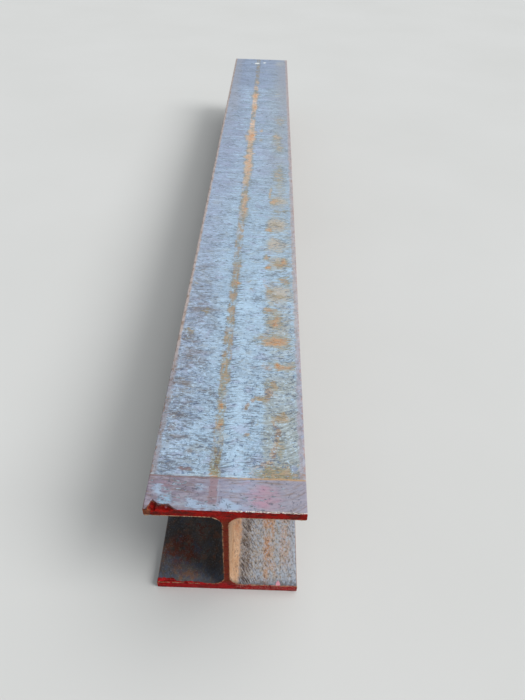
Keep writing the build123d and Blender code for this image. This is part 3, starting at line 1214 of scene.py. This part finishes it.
endPaint = {
    "film": 0.34,
    "step": 1.15,  # longest side of its small faces
    "reach": 15.0,  # how far back from the end it may lie
    "dragPitch": 3.1,  # lines that the torch left down the cut face
    "dragDepth": 0.2,
    "bareTip": 13.0,  # unpainted end of the upper flange, on the left
    "smear": (94, 5.0),  # a pale smear on the lower flange: across, from the end
    "chipHighlight": (-93, 7.6),  # a pale spot beside the scoop in the upper flange: a chip, with a painted highlight on it
    "red": (166, 18, 12), "deepRed": (88, 10, 9), "crimson": (186, 26, 38), "worn": (214, 160, 148),
    "brown": (98, 48, 26), "orange": (166, 96, 56), "pinkWhite": (216, 158, 172), "scorchAndShade": (58, 30, 26),
}


def easeBetween(value, start, stop):
    share = min(1.0, max(0.0, (value - start) / (stop - start)))
    return share * share * (3 - 2 * share)


def paintLap(x, z):
    # how far the paint laps back over the steel, in millimetres
    if z > beamHeight - 12:
        return max(0.6, scoopRimEdge(x) - 2.6)
    if z > beamHeight - 30:
        return 1.3
    if 10 < z < 24:
        smearing = max(0.0, 1 - ((x - endPaint["smear"][0]) / 4.4) ** 2) ** 0.5
        return 1.5 + 2.2 * easeBetween(x, -40, -52) + 5.0 * easeBetween(x, -93, -99) + 8.5 * smearing
    return 1.4


def isPainted(spot, normal):
    x, y, z = spot / mm
    fromCut = y - nearEnd
    rag = noise.noise(spot * 260) * 0.9 + noise.noise(spot * 700) * 0.6
    if z > beamHeight - 22 and x < endPaint["bareTip"] - halfFlange + rag * 2.5 and fromCut < 4 + rag:
        return False
    if normal.y < -0.8:
        return noise.noise(spot * 330) + 0.5 * noise.noise(spot * 900) < 0.55
    if z < 4 and normal.z < -0.5:
        return False
    lap = paintLap(x, z)
    return fromCut < lap + rag * (0.5 + lap * 0.26) + 0.4


def finerFaces(shape, step):
    for _ in range(4):
        long = [edge for edge in shape.edges if edge.calc_length() > step * mm]
        if not long:
            break
        bmesh.ops.subdivide_edges(shape, edges=long, cuts=1)
        bmesh.ops.triangulate(shape, faces=shape.faces)


def brushEndPaint(body, sizes):
    shape = bmesh.new()
    shape.from_mesh(body.data)
    away = [face for face in shape.faces if face.calc_center_median().y > (nearEnd + sizes["reach"]) * mm]
    bmesh.ops.delete(shape, geom=away, context="FACES")
    finerFaces(shape, sizes["step"])
    shape.normal_update()
    bare = [face for face in shape.faces if not isPainted(face.calc_center_median(), face.normal)]
    bmesh.ops.delete(shape, geom=bare, context="FACES")
    # a face with no neighbour would only float as dust
    lone = [face for face in shape.faces if all(edge.is_boundary for edge in face.edges)]
    bmesh.ops.delete(shape, geom=lone, context="FACES")
    shape.normal_update()
    for vert in shape.verts:
        spot = vert.co / mm
        drag = 0.5 + 0.5 * sin(2 * pi * (spot.x + noise.noise(spot * 0.09) * 3) / sizes["dragPitch"])
        lump = 0.5 + 0.5 * noise.noise(spot * 0.4)
        onCutFace = vert.normal.y < -0.84
        rise = sizes["film"] * (0.55 + 0.45 * lump) + drag * sizes["dragDepth"] * onCutFace
        vert.co += vert.normal * rise * mm
    mesh = bpy.data.meshes.new("endPaint")
    shape.to_mesh(mesh)
    shape.free()
    paint = addToScene("endPaint", mesh)
    film = paint.modifiers.new("film", "SOLIDIFY")
    film.thickness = sizes["film"] * mm
    film.offset = -1
    settle(paint)
    paint.data.materials.clear()
    paint.data.materials.append(paintFinish(sizes))
    for face in paint.data.polygons:
        face.material_index = 0
        face.use_smooth = True
    trimToSize(paint, 0.0)
    return paint


def paintFinish(look):
    finish, shader, point = newFinish("redEndPaint")
    x, y, z = apart(point)
    fromCut = calc("SUBTRACT", y, nearEnd)
    cloud = grain(point, (30, 26, 12), 2.0, detail=4, rough=0.65)
    brushed = grain(point, (14, 3.0, 1.4), 5.0, detail=3, rough=0.6)
    fine = grain(point, (2.0, 2.0, 1.8), 8.0, detail=3, rough=0.65)
    thick = ramp(total(cloud, swing(brushed, 0.8)), 0.37, 0.55)
    coats = Coats(look, "deepRed")
    coats.lay("red", thick)
    coats.lay("crimson", ramp(z, 60, 22), ramp(brushed, 0.40, 0.56), 0.85)
    coats.lay("brown", ramp(total(fine, swing(cloud, 0.6)), 0.47, 0.36), 0.40)
    # brushed thin over the web, so that rust shows through
    onWeb = product(within(z, 24, beamHeight - 26, 10), ramp(calc("ABSOLUTE", x), 18, 9))
    coats.lay("brown", onWeb, ramp(total(cloud, swing(fine, 0.8)), 0.34, 0.56), 0.85)
    coats.lay("orange", onWeb, ramp(fine, 0.54, 0.66), 0.50)
    # worn through along the arrises of the flanges
    inFlange = calc("PINGPONG", z, beamHeight / 2)
    atArris = total(ramp(inFlange, 2.6, 0.6), ramp(inFlange, 15.4, 17.2))
    lowRight = product(ramp(z, 40, 20), ramp(x, 0, 30))
    rubBias = total(product(atArris, 0.05), product(lowRight, 0.060), product(onWeb, -0.2))
    rubbed = ramp(total(fine, swing(brushed, 0.5), rubBias), 0.62, 0.70)
    coats.lay("worn", rubbed, fade(lowRight, 0.16, 0.90))
    # darker towards the bottom of the lower flange's end, most along its bottom arris
    darkerLow = ramp(total(fine, product(ramp(inFlange, 4.5, 1.0), -0.06)), 0.44, 0.36)
    coats.lay("brown", darkerLow, ramp(z, 30, 8), 0.60)
    onLedge = ramp(fromCut, 1.0, 2.2)
    coats.lay("pinkWhite", onLedge, spotAmount(x, fromCut, look["smear"], 9.0), 0.85)
    coats.lay("pinkWhite", onLedge, spotAmount(x, fromCut, look["chipHighlight"], 3.2), 0.90)
    # darker red in the scoop and a dark rim at its top, partly painted shade of its hollow
    inScoop = product(onLedge, ramp(z, beamHeight - 12, beamHeight - 10))
    coats.lay("deepRed", inScoop, ramp(total(cloud, swing(fine, 0.6)), 0.36, 0.54), 0.80)
    coats.lay("scorchAndShade", inScoop, ramp(z, beamHeight - 3.2, beamHeight - 1.0), 0.75)
    rough = ramp(cloud, 0.3, 0.7, 0.44, 0.62)
    dressShader(shader, coats, rough, 0.05, total(brushed, product(fine, 0.5)), 0.30)
    return finish


paintCoat = brushEndPaint(steelBody, endPaint)
print("end painted,", len(paintCoat.data.polygons), "faces")


# What lies loose or grows on the steel, scattered by one Geometry Nodes tree

# turn is how far a flake or lump may turn either way, in radians
scatterLook = {
    "scaleFlakes": {
        "count": 15000, "length": 7.0, "width": 2.0, "thickness": 0.26, "turn": 0.22, "seed": 3,
        "tone": (92, 104, 116), "paleTone": (150, 168, 186), "fleck": (126, 112, 96), "rounded": False,
    },
    "rustCrust": {
        "count": 90000, "length": 2.2, "width": 1.5, "thickness": 0.34, "turn": 3.0, "seed": 8,
        "tone": (180, 118, 72), "paleTone": (204, 148, 100), "fleck": (122, 82, 54), "rounded": True,
    },
    "channelGrit": {
        "count": 9000, "length": 1.7, "width": 1.3, "thickness": 0.9, "turn": 3.0, "seed": 5,
        "tone": (132, 118, 102), "paleTone": (158, 148, 136), "fleck": (84, 70, 60), "rounded": True,
    },
}


def gritFinish(name, look):
    finish, shader, point = newFinish(name + "Finish")
    each = grain(point, (7, 7), 3.0, detail=3, rough=0.7)
    fine = grain(point, (0.9, 0.9), 5.0, detail=2)
    coats = Coats(look, "tone")
    coats.lay("paleTone", ramp(each, 0.38, 0.60))
    coats.lay("fleck", ramp(fine, 0.52, 0.66))
    dressShader(shader, coats, ramp(each, 0.3, 0.7, 0.55, 0.8), 0.5, fine, 0.15)
    return finish


def flakeWeight(point, facing):
    x, _, z = apart(point)
    dents = total(rollerDashes(point), product(ramp(x, -20, -110), 0.05))
    onTop = product(ramp(z, beamHeight - 4, beamHeight - 2), ramp(facing, 0.99, 0.999))
    return product(ramp(dents, 0.58, 0.68), onTop, ramp(calc("ABSOLUTE", x), 124, 121))


def crustWeight(point, facing):
    rust = geo("InputNamedAttribute", {"Name": "rust"}, data_type="FLOAT")
    flecks = grain(point, (11, 3.2), 4.4, detail=4, rough=0.7)
    rusty = ramp(total(rust, swing(flecks, 0.7)), 0.55, 1.05)
    return product(rusty, ramp(facing, 0.98, 0.995))


def gritWeight(point, facing):
    z = apart(point)[2]
    drift = grain(point, (24, 40), 6.0, detail=3)
    onFloor = product(ramp(z, 30, 20), ramp(z, 10, 15), ramp(facing, 0.7, 0.9))
    return product(onFloor, ramp(drift, 0.42, 0.62))


def randomBetween(least, most, salt):
    made = addNode("FunctionNodeRandomValue", data_type="FLOAT")
    for name, value in (("Min", least), ("Max", most), ("Seed", salt)):
        feed(next(item for item in made.inputs if item.name == name and item.enabled), value)
    return next(item for item in made.outputs if item.enabled)


def lumpsOut(placed, point, finish, scale, push, smooth):
    # makes the instances real, pushes each out of shape by up to half of push, and dresses them
    real = geo("RealizeInstances", {"Geometry": placed})
    shove = addNode("ShaderNodeTexNoise", {"Vector": point, "Scale": scale, "Detail": 1.0}).outputs["Color"]
    centred = vectorCalc("SUBTRACT", shove, (0.5, 0.5, 0.5))
    offset = vectorCalc("MULTIPLY", centred, [reach * mm for reach in push])
    uneven = geo("SetPosition", {"Geometry": real, "Offset": offset})
    shaded = geo("SetShadeSmooth", {"Geometry": uneven, "Shade Smooth": smooth})
    return geo("SetMaterial", {"Geometry": shaded, "Material": finish})


def scatterTree(name, values, weight, finish, rounded):
    source, result = newTree(name, values)
    place = geo("InputPosition")
    point = inMillimetres(place)
    facing = apart(geo("InputNormal"))[2]
    density = product(weight(point, facing), source["Per Square Metre"])
    spread = addNode(
        "GeometryNodeDistributePointsOnFaces",
        {"Mesh": source["Geometry"], "Density": density, "Seed": source["Seed"]},
    ).outputs
    if rounded:
        lump = geo("MeshIcoSphere", {"Radius": 0.5, "Subdivisions": 1})
    else:
        lump = geo("MeshCylinder", {"Vertices": 7, "Radius": 0.5, "Depth": 1.0})
    upright = addNode("FunctionNodeAlignRotationToVector", {"Vector": spread["Normal"]}, axis="Z").outputs[0]
    turn = randomBetween(product(source["Turn"], -1.0), source["Turn"], 1)
    spin = addNode("FunctionNodeAxisAngleToRotation", {"Axis": (0, 0, 1), "Angle": turn}).outputs[0]
    turned = addNode(
        "FunctionNodeRotateRotation", {"Rotation": upright, "Rotate By": spin}, rotation_space="LOCAL"
    ).outputs[0]
    size = joined(
        product(source["Length"], randomBetween(0.45, 1.35, 2)),
        product(source["Width"], randomBetween(0.5, 1.3, 3)),
        product(source["Thickness"], randomBetween(0.6, 1.0, 4)),
    )
    placed = geo("InstanceOnPoints", {
        "Points": spread["Points"], "Instance": lump, "Rotation": turned, "Scale": size,
    })
    # uneven outlines, moved only along the surface
    feed(result, lumpsOut(placed, point, finish, 0.7, (1.6, 1.0, 0.0), rounded))
    return tree


def scatterPiece(name, body, weight, sizes):
    area = beamLength * 2 * halfFlange * mm * mm
    values = {
        "Per Square Metre": sizes["count"] / area, "Turn": sizes["turn"], "Seed": sizes["seed"],
        "Length": sizes["length"] * mm, "Width": sizes["width"] * mm, "Thickness": sizes["thickness"] * mm,
    }
    piece = addToScene(name, body.data.copy())
    finish = gritFinish(name, sizes)
    growPiece(piece, scatterTree(name, values, weight, finish, sizes["rounded"]), values)
    trimToSize(piece)
    print(name, "scattered,", len(piece.data.polygons), "faces")
    return piece


weights = {"scaleFlakes": flakeWeight, "rustCrust": crustWeight, "channelGrit": gritWeight}
loosePieces = [scatterPiece(name, steelBody, weights[name], sizes) for name, sizes in scatterLook.items()]


# Beads and chips round the edge of the cut end, along the section's own outline.
# A larger share leaves fewer bare runs between them.

edgeTrims = {
    "cutDross": {
        "spacing": 1.1, "length": 2.8, "breadth": 1.7, "setBack": 0.9, "share": 0.50, "seed": 4,
        "tone": (150, 96, 62), "paleTone": (186, 140, 104), "fleck": (92, 50, 38),
        "fromAcross": -130.0, "fromHeight": 8.0, "toHeight": 236.0,
    },
    "rimLine": {
        "spacing": 1.8, "length": 4.2, "breadth": 2.5, "setBack": 0.9, "share": 0.60, "seed": 6,
        "tone": (168, 124, 94), "paleTone": (200, 164, 130), "fleck": (116, 74, 54),
        "fromAcross": -128.0, "fromHeight": 236.0, "toHeight": 243.5,
    },
    # pale beads along the top arris, partly chips and partly a painted highlight of the lit arris
    "arrisChipsAndHighlight": {
        "spacing": 1.6, "length": 4.4, "breadth": 3.0, "setBack": 1.5, "share": 0.53, "seed": 9,
        "tone": (222, 206, 196), "paleTone": (236, 226, 218), "fleck": (96, 62, 56),
        "fromAcross": 2.0, "fromHeight": 258.0, "toHeight": 261.0,
    },
    "footChips": {
        "spacing": 1.3, "length": 2.4, "breadth": 0.9, "setBack": 0.8, "share": 0.34, "seed": 12,
        "tone": (120, 70, 52), "paleTone": (176, 120, 100), "fleck": (70, 40, 34),
        "fromAcross": -130.0, "fromHeight": -1.0, "toHeight": 1.5,
    },
}


def edgeTrimTree(name, values, finish):
    source, result = newTree(name, values)
    place = geo("InputPosition")
    x, up, _ = apart(place)
    section = roundedSection(source, place, x, up)
    spots = geo("CurveToPoints", {"Curve": section, "Length": source["Spacing"]}, mode="LENGTH")
    inside = product(
        calc("GREATER_THAN", up, source["From Height"]), calc("LESS_THAN", up, source["To Height"]),
        calc("GREATER_THAN", x, source["From Across"]),
    )
    # clusters of beads with bare runs between them
    point = inMillimetres(place)
    away = product(source["Seed"], 37.0)
    cluster = grain(vectorCalc("ADD", point, joined(away, away, away)), (9, 9), detail=3, rough=0.7)
    chosen = calc("LESS_THAN", total(cluster, swing(randomBetween(0.0, 1.0, 7), 0.3)), source["Share"])
    bare = calc("LESS_THAN", product(inside, chosen), 0.5)
    kept = geo("DeleteGeometry", {"Geometry": spots, "Selection": bare})
    stand = joined(
        total(x, randomBetween(-0.3 * mm, 0.3 * mm, 5)),
        total(source["Along"], randomBetween(-0.25 * mm, 0.55 * mm, 6)),
        up,
    )
    moved = geo("SetPosition", {"Geometry": kept, "Position": stand})
    size = joined(
        product(source["Bead Length"], randomBetween(0.4, 1.2, 1)),
        product(source["Bead Breadth"], randomBetween(0.5, 1.1, 2)),
        product(source["Bead Breadth"], randomBetween(0.5, 1.1, 3)),
    )
    lump = geo("MeshIcoSphere", {"Radius": 0.5, "Subdivisions": 2})
    placed = geo("InstanceOnPoints", {"Points": moved, "Instance": lump, "Scale": size})
    feed(result, lumpsOut(placed, point, finish, 0.9, (1.2, 0.8, 0.8), True))
    return tree


def trimCutEdge(name, sizes):
    piece = sectionOutline(rolledBody)
    piece.name = name
    lengths = {
        "Height": beamHeight, "Half Flange": halfFlange, "Root Radius": rolledBody["rootRadius"],
        "Toe Radius": rolledBody["toeRadius"], "Top Step": 4.0, "Side Step": 4.0,
        "Spacing": sizes["spacing"], "Along": nearEnd + sizes["setBack"], "Bead Length": sizes["length"],
        "Bead Breadth": sizes["breadth"], "From Across": sizes["fromAcross"],
        "From Height": sizes["fromHeight"], "To Height": sizes["toHeight"],
    }
    values = {label: length * mm for label, length in lengths.items()}
    values.update({"Share": sizes["share"], "Seed": sizes["seed"]})
    growPiece(piece, edgeTrimTree(name, values, gritFinish(name, sizes)), values)
    trimToSize(piece)
    print(name, "laid,", len(piece.data.polygons), "faces")
    return piece


edgePieces = [trimCutEdge(name, sizes) for name, sizes in edgeTrims.items()]


for piece in (steelBody, paintCoat, *loosePieces, *edgePieces):
    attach(piece, "root")
    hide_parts("i_beam")
    triangles = sum(len(face.vertices) - 2 for face in piece.data.polygons)
    print(piece.name, triangles, "triangles")
